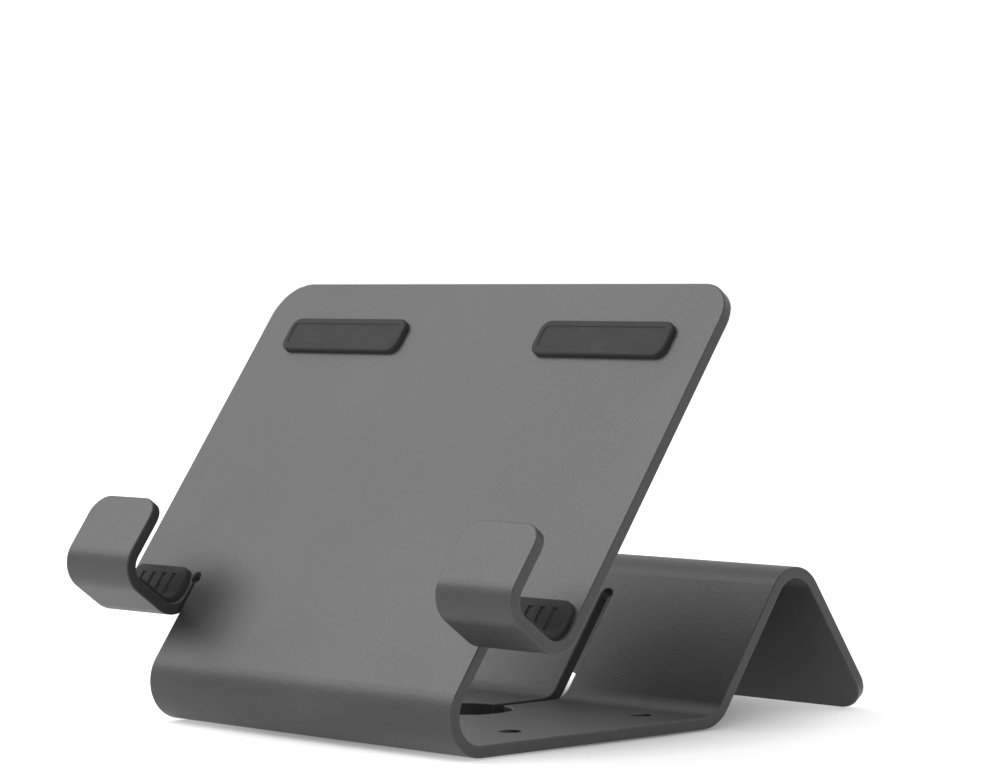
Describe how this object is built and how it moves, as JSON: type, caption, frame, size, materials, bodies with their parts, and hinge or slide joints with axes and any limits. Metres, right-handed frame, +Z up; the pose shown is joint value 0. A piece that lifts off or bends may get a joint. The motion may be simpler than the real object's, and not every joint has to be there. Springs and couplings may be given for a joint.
{
  "type": "tablet stand",
  "caption": "Desktop tablet stand folded from one metal sheet: leaning back plate with hooks, rolled base with screw holes and keyhole, ramp and rear leg.",
  "frame": {"origin": "middle of the outer box in X and Y, on the surface the stand rests on", "axes": "+X to the right seen from the front, +Y to the back, +Z up"},
  "size_m": [0.1604, 0.1578, 0.1097],
  "materials": {
    "powder_coat": "fine matt powder coat, charcoal",
    "rubber": "matt black silicone",
    "foot_rubber": "matt anti-slip rubber"
  },
  "bodies": {
    "root": {"folded_body": "powder_coat", "hook_liner_left": "rubber", "hook_liner_right": "rubber", "rest_pad_left": "rubber", "rest_pad_right": "rubber", "foot_front_left": "foot_rubber", "foot_front_right": "foot_rubber", "foot_rear_left": "foot_rubber", "foot_rear_right": "foot_rubber"}
  },
  "joints": []
}
